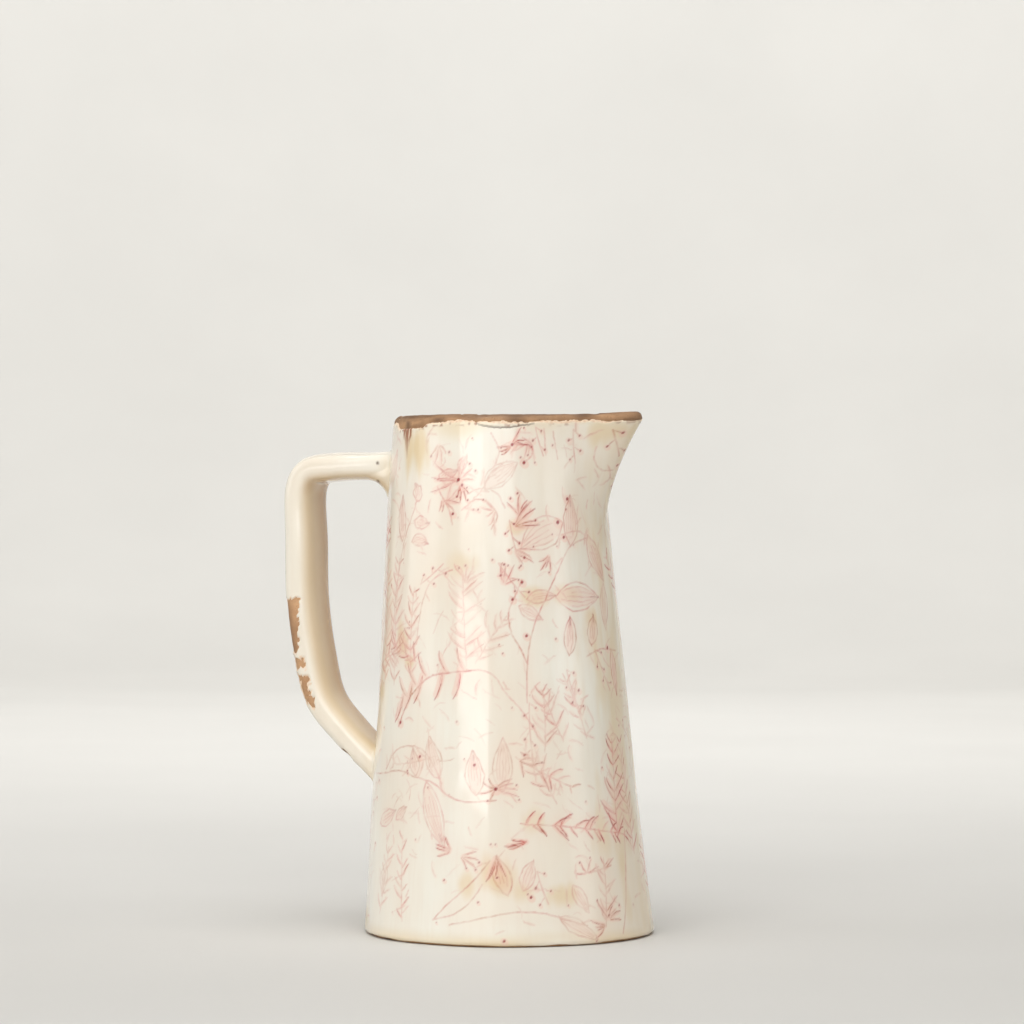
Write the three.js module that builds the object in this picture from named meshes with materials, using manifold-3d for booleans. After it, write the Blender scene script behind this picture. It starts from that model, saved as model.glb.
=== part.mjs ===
// A hand-built ceramic pitcher. A tapering clay wall with a pulled pouring lip stands round
// a clay floor disc. A strap handle is luted to the wall with two pads of slip. A glaze coat
// covers the outside, a second one lines the inside, and a third covers the handle.
// Millimetres, +Z up. The origin is the middle of the foot, on the surface it stands on.
// The spout points along +X and the handle along -X.

import * as THREE from "three";
import { mergeVertices } from "three/addons/utils/BufferGeometryUtils.js";
import Module from "manifold-3d";

const wasm = await Module();
wasm.setup();

// Body, measured over the glaze
const RIM_HEIGHT = 248;
const FOOT_RADIUS = 70;
const MOUTH_RADIUS = 48.7;
const WAIST = 0.6;
const LEAN_PER_HEIGHT = 0.03;
const FOOT_ROUNDING = 2.5;

// Pouring spout
const SPOUT_START = 195;
const SPOUT_REACH = 26.5;
const SPOUT_CURVE = 1.5;
const SPOUT_PINCH = 1.15;
const SPOUT_RISE = 2;
const TIP_ROUNDING = 0.14;

// Clay and glaze thicknesses
const GAP = 0.3;
const GLAZE = 0.6;
const FOOT_WALL = 7;
const RIM_WALL = 5;
const FLOOR = 7;
const SLIP_PAD = 1.2;
const CLAY_INSET = GLAZE + GAP;

// Where the outside glaze stops
const BARE_RIM = 4;
const BARE_FOOT = 2.8;

// Handle, measured over the glaze
const HANDLE_THICKNESS = 13.4;
const HANDLE_BELLY = 1.9;
const HANDLE_WIDTH = 33;
const HANDLE_SQUARENESS = 3.2;
const ROOT_FLARE = 1.0;
const ROOT_LENGTH = 10;
const HANDLE_ROUTE = [
  [-50, 224.5],
  [-68, 224.4],
  [-86, 224],
  [-100, 221.6],
  [-104.4, 214.5],
  [-104.5, 188],
  [-104, 160],
  [-100.5, 134],
  [-94.2, 110.6],
  [-82, 95.5],
  [-66, 80.5],
  [-54, 70],
];

// Chip in the handle's glaze: its middle and its half sizes
const CHIP_PLACE = [-109.5, -14, 147];
const CHIP_SIZE = [5, 5.5, 12];

// Mesh fineness
const COLUMNS = 48;
const SPOUT_CROWDING = 0.45;
const LOW_ROWS = 4;
const SPOUT_ROWS = 6;
const LIP_STEPS = 4;
const FOOT_STEPS = 3;
const HANDLE_STEPS = 24;
const HANDLE_SIDES = 16;
const CHIP_COLUMNS = 12;
const CHIP_ROWS = 8;
const SAME_POINT = 1e-4;

// The clay bodies and coatings
const MATERIALS = {
  clay: { color: 0xa57d5c, roughness: 0.85 },
  slip: { color: 0xb98f6b, roughness: 0.9 },
  glaze: { color: 0xece4d4, roughness: 0.18 },
  liner: { color: 0xe6dcc8, roughness: 0.22 },
};

// ---------- Body shape ----------

function bodyRadius(z) {
  const rise = z / RIM_HEIGHT;
  const taper = THREE.MathUtils.lerp(FOOT_RADIUS, MOUTH_RADIUS, rise);
  return taper - WAIST * Math.sin(2 * Math.PI * rise);
}

// How far the spout stands out beyond the round body: a V in plan whose two sides run
// tangent to the circle, with a rounded tip, growing from nothing up to the rim.
function spoutPull(theta, z) {
  const lift = (z - SPOUT_START) / (RIM_HEIGHT - SPOUT_START);
  if (lift <= 0) return 0;
  const reach = SPOUT_REACH * lift ** SPOUT_CURVE;
  const radius = bodyRadius(z);
  const tangentAngle = Math.acos(radius / (radius + reach)) + TIP_ROUNDING;
  const turn = Math.hypot(theta, TIP_ROUNDING);
  if (turn >= tangentAngle) return 0;
  const share = (radius / Math.cos(tangentAngle - turn) - radius) / reach;
  return reach * share ** SPOUT_PINCH;
}

function outsidePoint(theta, z) {
  const radius = bodyRadius(z) + spoutPull(theta, z);
  const lean = -LEAN_PER_HEIGHT * z;
  return new THREE.Vector3(lean + radius * Math.cos(theta), radius * Math.sin(theta), z);
}

// A point of the body under its outside surface, measured level and square to the outline.
function bodyPoint(theta, z, inset) {
  const turn = 0.01;
  const along = outsidePoint(theta + turn, z).sub(outsidePoint(theta - turn, z)).normalize();
  const inward = new THREE.Vector3(-along.y, along.x, 0);
  return outsidePoint(theta, z).addScaledVector(inward, inset);
}

function rimHeight(theta) {
  return RIM_HEIGHT + SPOUT_RISE * (spoutPull(theta, RIM_HEIGHT) / SPOUT_REACH);
}

function wallThickness(z) {
  return THREE.MathUtils.lerp(FOOT_WALL, RIM_WALL, z / RIM_HEIGHT);
}

// Heights from one level to another, closer together where the spout opens out.
function heightRows(bottom, top) {
  const rows = [];
  for (let i = 0; i < LOW_ROWS; i += 1) {
    rows.push(THREE.MathUtils.lerp(bottom, SPOUT_START, i / LOW_ROWS));
  }
  for (let i = 0; i <= SPOUT_ROWS; i += 1) {
    rows.push(THREE.MathUtils.lerp(SPOUT_START, top, i / SPOUT_ROWS));
  }
  return rows;
}

// ---------- Mesh building ----------

// Angles round the body, closer together at the spout.
function columnAngles() {
  const angles = [];
  for (let i = 0; i < COLUMNS; i += 1) {
    const even = (2 * Math.PI * i) / COLUMNS;
    const angle = even - SPOUT_CROWDING * Math.sin(even);
    angles.push(angle > Math.PI ? angle - 2 * Math.PI : angle);
  }
  return angles;
}

// A mesh over a grid of rings, each closed on itself. The rings either close into a loop or
// end in two caps, each a fan from the middle of its ring.
function ringMesh(rings, closesIntoLoop) {
  const sides = rings[0].length;
  const points = rings.flat();
  const triangles = [];
  const bands = closesIntoLoop ? rings.length : rings.length - 1;
  for (let i = 0; i < bands; i += 1) {
    const next = (i + 1) % rings.length;
    for (let j = 0; j < sides; j += 1) {
      const turn = (j + 1) % sides;
      const a = i * sides + j;
      const b = i * sides + turn;
      const c = next * sides + turn;
      const d = next * sides + j;
      triangles.push(a, b, c, a, c, d);
    }
  }
  if (!closesIntoLoop) {
    const last = (rings.length - 1) * sides;
    const start = points.push(ringMiddle(rings[0])) - 1;
    const end = points.push(ringMiddle(rings[rings.length - 1])) - 1;
    for (let j = 0; j < sides; j += 1) {
      const turn = (j + 1) % sides;
      triangles.push(start, turn, j);
      triangles.push(end, last + j, last + turn);
    }
  }
  const geometry = new THREE.BufferGeometry().setFromPoints(points);
  geometry.setIndex(triangles);
  return geometry;
}

function ringMiddle(ring) {
  const middle = new THREE.Vector3();
  for (const point of ring) middle.add(point);
  return middle.divideScalar(ring.length);
}

// A solid round the body. profileAt gives the same number of points at every angle, each
// a height and an inset, going up the outside first.
function bodySolidOfProfile(profileAt, closesIntoLoop) {
  const angles = columnAngles();
  const profiles = angles.map((angle) => profileAt(angle));
  const rings = profiles[0].map((_, row) =>
    angles.map((angle, column) => {
      const { z, inset } = profiles[column][row];
      return bodyPoint(angle, z, inset);
    })
  );
  return ringMesh(rings, closesIntoLoop);
}

function toSolid(geometry) {
  const bare = geometry.clone();
  bare.deleteAttribute("normal");
  bare.deleteAttribute("uv");
  const merged = mergeVertices(bare, SAME_POINT);
  return new wasm.Manifold(
    new wasm.Mesh({
      numProp: 3,
      vertProperties: new Float32Array(merged.attributes.position.array),
      triVerts: new Uint32Array(merged.index.array),
    })
  );
}

function toGeometry(solid) {
  const mesh = solid.getMesh();
  const geometry = new THREE.BufferGeometry();
  geometry.setAttribute("position", new THREE.BufferAttribute(mesh.vertProperties, mesh.numProp));
  geometry.setIndex(new THREE.BufferAttribute(mesh.triVerts, 1));
  return geometry;
}

// ---------- Clay ----------

function wallProfile(theta) {
  const profile = [];
  for (let i = 0; i <= FOOT_STEPS; i += 1) {
    const angle = (Math.PI / 2) * (i / FOOT_STEPS);
    const inset = CLAY_INSET + FOOT_ROUNDING * (1 - Math.sin(angle));
    profile.push({ z: FOOT_ROUNDING * (1 - Math.cos(angle)), inset });
  }
  const lipRadius = RIM_WALL / 2;
  const lipBase = rimHeight(theta) - lipRadius;
  const rows = heightRows(FOOT_ROUNDING, lipBase);
  for (const z of rows.slice(1)) profile.push({ z, inset: CLAY_INSET });
  for (let i = 1; i <= LIP_STEPS; i += 1) {
    const angle = Math.PI * (i / LIP_STEPS);
    const inset = CLAY_INSET + lipRadius * (1 - Math.cos(angle));
    profile.push({ z: lipBase + lipRadius * Math.sin(angle), inset });
  }
  const inside = heightRows(0, lipBase).slice(0, -1).reverse();
  for (const z of inside) profile.push({ z, inset: CLAY_INSET + wallThickness(z) });
  return profile;
}

function floorProfile() {
  return [0, FLOOR].map((z) => ({ z, inset: CLAY_INSET + wallThickness(z) + GAP }));
}

// ---------- Glaze ----------

function outsideGlazeProfile(theta) {
  const rows = heightRows(BARE_FOOT, rimHeight(theta) - BARE_RIM);
  const outside = rows.map((z) => ({ z, inset: 0 }));
  const underside = rows.map((z) => ({ z, inset: GLAZE })).reverse();
  return [...outside, ...underside];
}

// The lining is a cup: out over the floor, up the wall, then back down inside itself.
function liningProfile(theta) {
  const top = rimHeight(theta) - BARE_RIM;
  const backed = heightRows(FLOOR + GAP, top);
  const exposed = heightRows(FLOOR + GAP + GLAZE, top).reverse();
  const depth = (z) => CLAY_INSET + wallThickness(z) + GAP;
  return [
    ...backed.map((z) => ({ z, inset: depth(z) })),
    ...exposed.map((z) => ({ z, inset: depth(z) + GLAZE })),
  ];
}

// The whole body filled in, with its surface moved in or out, used to trim what meets it.
function filledBody(inset) {
  const margin = 6;
  const rows = heightRows(-margin, RIM_HEIGHT + margin);
  return toSolid(bodySolidOfProfile(() => rows.map((z) => ({ z, inset })), false));
}

// ---------- Handle ----------

const handleCurve = new THREE.CatmullRomCurve3(
  HANDLE_ROUTE.map(([x, z]) => new THREE.Vector3(x, 0, z)),
  false,
  "centripetal"
);

// How much the strap thickens toward each end, where it is pressed on to the wall.
function rootFlare(along) {
  const length = handleCurve.getLength();
  const nearest = Math.min(along, 1 - along) * length;
  return ROOT_FLARE * Math.exp(-((nearest / ROOT_LENGTH) ** 2));
}

// One section of the strap: a rounded rectangle drawn as a superellipse.
function handleRing(along, grow) {
  const middle = handleCurve.getPointAt(along);
  const forward = handleCurve.getTangentAt(along);
  const across = new THREE.Vector3(0, 1, 0);
  const outward = new THREE.Vector3().crossVectors(across, forward);
  const thickness = HANDLE_THICKNESS + HANDLE_BELLY * Math.sin(Math.PI * along) ** 2;
  const halfThickness = thickness / 2 + rootFlare(along) + grow;
  const halfWidth = HANDLE_WIDTH / 2 + rootFlare(along) + grow;
  const ring = [];
  for (let j = 0; j < HANDLE_SIDES; j += 1) {
    const angle = (2 * Math.PI * j) / HANDLE_SIDES;
    const sideways = Math.sign(Math.cos(angle)) * Math.abs(Math.cos(angle)) ** (2 / HANDLE_SQUARENESS);
    const upward = Math.sign(Math.sin(angle)) * Math.abs(Math.sin(angle)) ** (2 / HANDLE_SQUARENESS);
    ring.push(
      middle
        .clone()
        .addScaledVector(outward, halfThickness * sideways)
        .addScaledVector(across, halfWidth * upward)
    );
  }
  return ring;
}

function handleSolid(grow) {
  const rings = [];
  for (let i = 0; i <= HANDLE_STEPS; i += 1) rings.push(handleRing(i / HANDLE_STEPS, grow));
  return toSolid(ringMesh(rings, false));
}

function chipCutter() {
  const cutter = new THREE.SphereGeometry(1, CHIP_COLUMNS, CHIP_ROWS);
  cutter.scale(...CHIP_SIZE);
  cutter.translate(...CHIP_PLACE);
  return toSolid(cutter);
}

// ---------- Assembly ----------

const strapClay = handleSolid(-CLAY_INSET);
const strapUnderGlaze = handleSolid(-GLAZE);
const padInside = CLAY_INSET - GAP;
const padOutside = padInside - SLIP_PAD;
const pads = strapClay.intersect(filledBody(padOutside)).subtract(filledBody(padInside));
const [lowerPad, upperPad] = pads
  .decompose()
  .sort((a, b) => a.boundingBox().max[2] - b.boundingBox().max[2]);
const handle = strapClay.subtract(filledBody(padOutside - GAP));
const handleGlaze = handleSolid(0)
  .subtract(strapUnderGlaze)
  .subtract(filledBody(-GAP))
  .subtract(chipCutter());
const bodyGlaze = toSolid(bodySolidOfProfile(outsideGlazeProfile, true)).subtract(strapUnderGlaze);

const pitcher = new THREE.Group();

function addPiece(name, geometry, materialName) {
  const { color, roughness } = MATERIALS[materialName];
  const material = new THREE.MeshStandardMaterial({ color, roughness, metalness: 0 });
  const mesh = new THREE.Mesh(geometry, material);
  mesh.name = name;
  pitcher.add(mesh);
}

addPiece("body_wall", bodySolidOfProfile(wallProfile, true), "clay");
addPiece("floor_disc", bodySolidOfProfile(floorProfile, false), "clay");
addPiece("handle", toGeometry(handle), "clay");
addPiece("upper_slip_joint", toGeometry(upperPad), "slip");
addPiece("lower_slip_joint", toGeometry(lowerPad), "slip");
addPiece("body_glaze", toGeometry(bodyGlaze), "glaze");
addPiece("handle_glaze", toGeometry(handleGlaze), "glaze");
addPiece("liner_glaze", bodySolidOfProfile(liningProfile, false), "liner");

export default pitcher;
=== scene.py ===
from math import cos, degrees, pi, radians, sin

import bpy
import numpy as np
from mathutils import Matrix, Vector


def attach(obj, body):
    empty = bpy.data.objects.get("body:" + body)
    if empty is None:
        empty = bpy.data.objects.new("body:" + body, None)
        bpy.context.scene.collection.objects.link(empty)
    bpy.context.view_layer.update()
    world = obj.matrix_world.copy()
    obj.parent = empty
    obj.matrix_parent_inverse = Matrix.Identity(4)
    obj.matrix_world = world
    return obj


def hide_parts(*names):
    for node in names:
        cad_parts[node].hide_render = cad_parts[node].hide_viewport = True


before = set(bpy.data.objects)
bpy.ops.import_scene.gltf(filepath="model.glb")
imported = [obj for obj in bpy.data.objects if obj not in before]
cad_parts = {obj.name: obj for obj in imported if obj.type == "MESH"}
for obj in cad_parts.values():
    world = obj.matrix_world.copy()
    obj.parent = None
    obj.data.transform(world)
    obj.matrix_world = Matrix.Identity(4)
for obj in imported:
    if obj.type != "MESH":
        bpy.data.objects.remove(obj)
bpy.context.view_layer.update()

# A tall glazed pitcher. The shapes below are worked out in millimetres, in the part's own
# frame: +Z up, the spout toward +X, the handle toward -X, angles counted from the spout.
MM = 0.001
ROOT = "root"

# Body, measured over the glaze, as in the CAD model
RIM_HEIGHT = 248
FOOT_RADIUS = 70
MOUTH_RADIUS = 48.7
WAIST = 0.6
LEAN_PER_HEIGHT = 0.03
FOOT_ROUNDING = 3
LIP_HEIGHT = 3.2
LIP_DEPTH = 3.0

SPOUT_START = 195
SPOUT_REACH = 26.5
SPOUT_CURVE = 1.5
SPOUT_PINCH = 1.15
SPOUT_RISE = 2
TIP_ROUNDING = 0.14

FOOT_WALL = 7
RIM_WALL = 5
FLOOR = 7
LINING = 1.0
COVE = 7
FLOOR_GAP = 0.4

# How deep the clay and the slip lie under the face of the glaze
CLAY_DEPTH = 0.55
SLIP_DEPTH = 0.26
CHIP_DEPTH = 1.0

# Mean heights of the bare clay over and under the outside glaze
BARE_RIM = 4.3
GLAZE_FOOT = 0.9

# How far under the rim the outside skin and the lining stop
SKIN_BELOW_RIM = 1.6
LINING_BELOW_RIM = 4.6

# Handle, measured over the glaze, as in the CAD model
HANDLE_THICKNESS = 13.4
HANDLE_BELLY = 1.9
HANDLE_WIDTH = 33
HANDLE_SQUARENESS = 3.2
ROOT_FLARE = 1.0
ROOT_LENGTH = 10
ROOT_FILLET = 2.5
WEB_FILLET = 13
HANDLE_ROUTE = [
    (-50, 224.5), (-68, 224.4), (-86, 224), (-100, 221.6), (-104.4, 214.5), (-104.5, 188),
    (-104, 160), (-100.5, 134), (-94.2, 110.6), (-82, 95.5), (-66, 80.5), (-54, 70),
]

# Marks on the handle's near side, as places across and up
HANDLE_NICK = (-78.5, 84.4)
HANDLE_CHIPS = [  # top, bottom, inner edge at the top and at the bottom, strength
    (161, 131.5, -102.6, -102.8, 2.6),
    (134.5, 123.6, -99.6, -98.2, 1.7),
    (124.8, 105, -98.0, -93.4, 1.25),
]
HANDLE_SPECKS = [  # across, up, size
    (-61.6, 225.7, 0.4), (-61.9, 216.2, 1.1), (-62.4, 214.4, 0.9), (-59.6, 211.0, 1.0),
]

# The angle of the biggest chip in the glaze under the rim
RIM_CHIP = -129

# Mesh fineness. The rows are closer in a band under the rim.
SKIN_COLUMNS = 840
SKIN_ROWS = 480
SPOUT_CROWDING = 0.25
WALL_COLUMNS = 600
RIM_BAND = 12
LINING_COLUMNS = 360
HANDLE_COLUMNS = 128
HANDLE_ROWS = 440
FILLET_ROWS = 14


# ---- Body shape ----

def ease(x):
    """Rises smoothly from 0 to 1 as x goes from 0 to 1."""
    x = np.clip(x, 0, 1)
    return x * x * (3 - 2 * x)


def body_radius(z):
    rise = np.asarray(z) / RIM_HEIGHT
    taper = FOOT_RADIUS + (MOUTH_RADIUS - FOOT_RADIUS) * rise
    return taper - WAIST * np.sin(2 * pi * rise)


def spout_pull(theta, z):
    """How far the spout stands out beyond the round body: a V in plan with a rounded tip."""
    lift = np.clip((z - SPOUT_START) / (RIM_HEIGHT - SPOUT_START), 1e-6, None)
    reach = SPOUT_REACH * lift**SPOUT_CURVE
    radius = body_radius(z)
    tangent_angle = np.arccos(radius / (radius + reach)) + TIP_ROUNDING
    turn = np.minimum(np.hypot(theta, TIP_ROUNDING), tangent_angle)
    share = (radius / np.cos(tangent_angle - turn) - radius) / reach
    pull = reach * np.clip(share, 0, None) ** SPOUT_PINCH
    return np.where(lift > 1e-5, pull, 0)


def outside_point(theta, z):
    radius = body_radius(z) + spout_pull(theta, z)
    x = -LEAN_PER_HEIGHT * z + radius * np.cos(theta)
    return np.stack(np.broadcast_arrays(x, radius * np.sin(theta), z), axis=-1)


def rim_height(theta):
    return RIM_HEIGHT + SPOUT_RISE * spout_pull(theta, np.float64(RIM_HEIGHT)) / SPOUT_REACH


def wall_thickness(z):
    return FOOT_WALL + (RIM_WALL - FOOT_WALL) * z / RIM_HEIGHT


def column_angles(count):
    """Angles from -pi to pi, closer together at the spout."""
    even = 2 * pi * np.arange(count) / count - pi
    return even - SPOUT_CROWDING * np.sin(even)


# ---- Noise ----

def lattice_noise(around, up, cells, seed):
    """Smooth noise from 0 to 1 at places counted in cells, repeating after `cells` across."""
    rows = 97
    table = np.random.default_rng(seed).random((rows, cells))
    around, up = np.broadcast_arrays(around, up)
    column = np.floor(around).astype(int)
    row = np.floor(up).astype(int)
    x = ease(around - column)
    y = ease(up - row)

    def across(row):
        line = row % rows
        return table[line, column % cells] * (1 - x) + table[line, (column + 1) % cells] * x

    return across(row) * (1 - y) + across(row + 1) * y


def body_noise(theta, z, width, height, seed):
    """Noise on the body from -1 to 1, in patches of a width and a height in mm."""
    cells = int(2 * pi * FOOT_RADIUS / width)
    share = (theta + pi) / (2 * pi)
    return 2 * lattice_noise(share * cells, z / height, cells, seed) - 1


def hand_waves(theta, z):
    """The slow waves and shallow facets that hand work leaves in the whole body."""
    return 0.6 * body_noise(theta, z, 30, 56, 51) + 0.2 * body_noise(theta, z, 12, 30, 52)


def body_point(theta, z, inset):
    """A point under the outside surface, measured level and square to the outline. The
    outline stops spreading where the lip begins."""
    turn = 0.01
    level = np.minimum(z, rim_height(theta) - LIP_HEIGHT)
    along = outside_point(theta + turn, level) - outside_point(theta - turn, level)
    along /= np.linalg.norm(along, axis=-1, keepdims=True)
    inward = np.stack([-along[..., 1], along[..., 0], np.zeros(along.shape[:-1])], axis=-1)
    points = outside_point(theta, level) + inward * (inset - hand_waves(theta, z))[..., None]
    points[..., 2] = z
    return points


# ---- Meshes ----

def add_object(name, data):
    thing = bpy.data.objects.new(name, data)
    bpy.context.scene.collection.objects.link(thing)
    return thing


def grid_piece(name, rings, material, layers=None, loops=False, caps=False):
    """A piece over rings of points that each close on themselves. The rings end open, close
    into a loop, or end in two flat caps. `layers` are values that the material reads."""
    rows, columns = rings.shape[:2]
    index = np.arange(rows * columns).reshape(rows, columns)
    low = index if loops else index[:-1]
    high = np.roll(index, -1, axis=0) if loops else index[1:]
    corners = np.stack([low, np.roll(low, -1, 1), np.roll(high, -1, 1), high], axis=-1).ravel()
    starts = np.arange(0, corners.size, 4)
    if caps:
        starts = np.concatenate([starts, [corners.size, corners.size + columns]])
        corners = np.concatenate([corners, index[0, ::-1], index[-1]])
    mesh = bpy.data.meshes.new(name)
    mesh.vertices.add(index.size)
    mesh.vertices.foreach_set("co", (rings * MM).astype(np.float32).ravel())
    mesh.loops.add(corners.size)
    mesh.loops.foreach_set("vertex_index", corners.astype(np.int32))
    mesh.polygons.add(starts.size)
    mesh.polygons.foreach_set("loop_start", starts.astype(np.int32))
    mesh.update(calc_edges=True)
    mesh.shade_smooth()
    for layer, values in (layers or {}).items():
        attribute = mesh.attributes.new(layer, "FLOAT", "POINT")
        attribute.data.foreach_set("value", values.astype(np.float32).ravel())
    mesh.materials.append(material)
    return add_object(name, mesh)


# ---- Materials ----

def srgb(red, green, blue):
    """A colour given as it looks on screen, from 0 to 255, as Blender's linear values."""
    linear = []
    for value in (red, green, blue):
        share = value / 255
        linear.append(share / 12.92 if share <= 0.04045 else ((share + 0.055) / 1.055) ** 2.4)
    return (*linear, 1)


class Paint:
    """Builds a material's nodes. Their inputs are named with _ for a space, and are constants
    or other nodes' outputs."""

    def __init__(self, name):
        self.material = bpy.data.materials.new(name)
        self.material.use_nodes = True
        self.tree = self.material.node_tree
        self.shader = self.tree.nodes["Principled BSDF"]
        self.place = self.new("TexCoord").outputs["Object"]

    def feed(self, socket, value):
        if hasattr(value, "is_output"):
            self.tree.links.new(value, socket)
        else:
            socket.default_value = value

    def set(self, node, **inputs):
        for name, value in inputs.items():
            self.feed(node.inputs[name.replace("_", " ")], value)

    def new(self, kind, **inputs):
        node = self.tree.nodes.new("ShaderNode" + kind)
        self.set(node, **inputs)
        return node

    def noise(self, scale, detail=3, stretch=(1, 1, 1), roughness=0.5):
        place = self.new("Mapping", Scale=stretch, Vector=self.place).outputs["Vector"]
        node = self.new("TexNoise", Scale=scale, Detail=detail, Roughness=roughness, Vector=place)
        return node.outputs["Fac"]

    def layer(self, name):
        node = self.new("Attribute")
        node.attribute_name = name
        return node.outputs["Fac"]

    def spread(self, value, low, high, to_low=0.0, to_high=1.0):
        """Maps a value between `low` and `high` to one between `to_low` and `to_high`."""
        limits = {"From_Min": low, "From_Max": high, "To_Min": to_low, "To_Max": to_high}
        return self.new("MapRange", Value=value, **limits).outputs["Result"]

    def times(self, first, second):
        node = self.new("Math")
        node.operation = "MULTIPLY"
        self.feed(node.inputs[0], first)
        self.feed(node.inputs[1], second)
        return node.outputs["Value"]

    def mix(self, factor, first, second):
        """Mixes two colours."""
        node = self.new("Mix", Factor=factor)
        node.data_type = "RGBA"
        colours = [socket for socket in node.inputs if socket.type == "RGBA"]
        self.feed(colours[0], first)
        self.feed(colours[1], second)
        return next(socket for socket in node.outputs if socket.type == "RGBA")

    def mix_value(self, factor, first, second):
        return self.new("Mix", Factor=factor, A=first, B=second).outputs["Result"]

    def bump(self, height, strength, distance):
        node = self.new("Bump", Strength=strength, Distance=distance, Height=height)
        self.set(self.shader, Normal=node.outputs["Normal"])


CREAM = srgb(243, 239, 227)
WARM_CREAM = srgb(240, 229, 212)
PALE_STREAK = srgb(237, 225, 209)
SLIP_COLOUR = srgb(241, 219, 193)
BROKEN_SLIP = srgb(226, 192, 160)
CLAY_COLOUR = srgb(186, 142, 102)
DARK_CLAY = srgb(146, 108, 76)
PALE_CLAY = srgb(208, 164, 122)
SMOKED_CLAY = srgb(92, 66, 47)
PINK_LINE = srgb(210, 112, 108)
BROWN_LINE = srgb(192, 124, 90)
DEEP_LINE = srgb(152, 34, 46)
PINK_WASH = srgb(240, 202, 186)
# Tan for stains, and for painted shade down the side right of the spout and on the handle's inner face
TAN_STAIN_AND_SHADE = srgb(226, 198, 144)
# Brown painted shade, with some stain, for the handle's inner face
SHADE_AND_STAIN_BROWN = srgb(184, 128, 26)
RUST = srgb(148, 76, 28)
# Dark brown for dirt and the lining's pinholes, and for painted shadow along a crack and the handle's
# inner edge
DIRT_AND_SHADE = srgb(92, 66, 50)

LAYERS = ("line", "deep", "wash", "stain_and_shade", "smoke_and_shade", "rust", "dirt_and_shade", "slip")


def glaze_material(name):
    """Gloss cream glaze over drawing, stains, slip and dirt laid down as layers, with painted shade in
    some.
    """
    mat = Paint(name)
    cloud = mat.spread(mat.noise(22, stretch=(1, 1, 0.5)), 0.35, 0.7)
    colour = mat.mix(cloud, CREAM, WARM_CREAM)
    streaks = mat.spread(mat.noise(420, stretch=(1, 1, 0.06)), 0.45, 0.75, 0.0, 0.3)
    colour = mat.mix(streaks, colour, PALE_STREAK)
    # Tan stains, and painted shade down the side right of the spout and on the handle's inner face
    colour = mat.mix(mat.times(mat.layer("stain_and_shade"), 0.9), colour, TAN_STAIN_AND_SHADE)
    # Painted shade, brown with some stain, on the handle's inner face
    colour = mat.mix(mat.layer("smoke_and_shade"), colour, SHADE_AND_STAIN_BROWN)
    colour = mat.mix(mat.times(mat.layer("wash"), 0.9), colour, PINK_WASH)
    hue = mat.spread(mat.noise(45), 0.42, 0.62)
    line = mat.mix(hue, PINK_LINE, BROWN_LINE)
    grain = mat.spread(mat.noise(260, detail=5), 0.35, 0.6, 0.5, 1.0)
    colour = mat.mix(mat.times(mat.layer("line"), grain), colour, line)
    colour = mat.mix(mat.layer("deep"), colour, DEEP_LINE)
    slip = mat.layer("slip")
    crumbs = mat.spread(mat.noise(700, detail=5), 0.35, 0.65)
    colour = mat.mix(slip, colour, mat.mix(crumbs, SLIP_COLOUR, BROKEN_SLIP))
    colour = mat.mix(mat.layer("rust"), colour, RUST)
    # Dirt and specks, and painted shadow along a crack and along the handle's inner edge
    colour = mat.mix(mat.layer("dirt_and_shade"), colour, DIRT_AND_SHADE)
    gloss = mat.spread(mat.noise(60, detail=4), 0.3, 0.7, 0.13, 0.2)
    mat.set(
        mat.shader,
        Base_Color=colour,
        Roughness=mat.mix_value(slip, gloss, 0.65),
        IOR=1.52,
        Coat_Weight=mat.mix_value(slip, 0.35, 0.0),
        Coat_Roughness=0.05,
    )
    mat.bump(mat.noise(220, detail=2), 0.05, 0.0004)
    return mat.material


def clay_material(name, light, middle, dark, turning):
    """Bare fired clay: mottled, grainy, with streaks left by turning where asked."""
    mat = Paint(name)
    mottle = mat.spread(mat.noise(90, detail=6, roughness=0.6), 0.34, 0.68)
    streaks = mat.noise(60, detail=4, stretch=(1, 1, turning))
    colour = mat.mix(mottle, middle, light)
    colour = mat.mix(mat.spread(streaks, 0.45, 0.75), colour, dark)
    specks = mat.spread(mat.noise(1500, detail=1), 0.62, 0.72, 0.0, 0.6)
    colour = mat.mix(specks, colour, dark)
    colour = mat.mix(mat.layer("smoke_and_shade"), colour, SMOKED_CLAY)
    roughness = mat.spread(mat.noise(300), 0.3, 0.7, 0.5, 0.75)
    mat.set(mat.shader, Base_Color=colour, Roughness=roughness, IOR=1.5)
    mat.bump(mat.noise(800, detail=6, roughness=0.7), 0.35, 0.0003)
    return mat.material


def lining_material():
    mat = Paint("lining_glaze")
    cloud = mat.spread(mat.noise(18), 0.35, 0.7)
    colour = mat.mix(cloud, srgb(233, 224, 206), srgb(226, 211, 184))
    pinholes = mat.spread(mat.noise(500, detail=1), 0.68, 0.74, 0.0, 0.5)
    colour = mat.mix(pinholes, colour, DIRT_AND_SHADE)
    roughness = mat.spread(mat.noise(60), 0.3, 0.7, 0.16, 0.26)
    mat.set(mat.shader, Base_Color=colour, Roughness=roughness, IOR=1.52)
    mat.bump(mat.noise(160, detail=2), 0.06, 0.0005)
    return mat.material


# ---- Drawing ----

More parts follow.
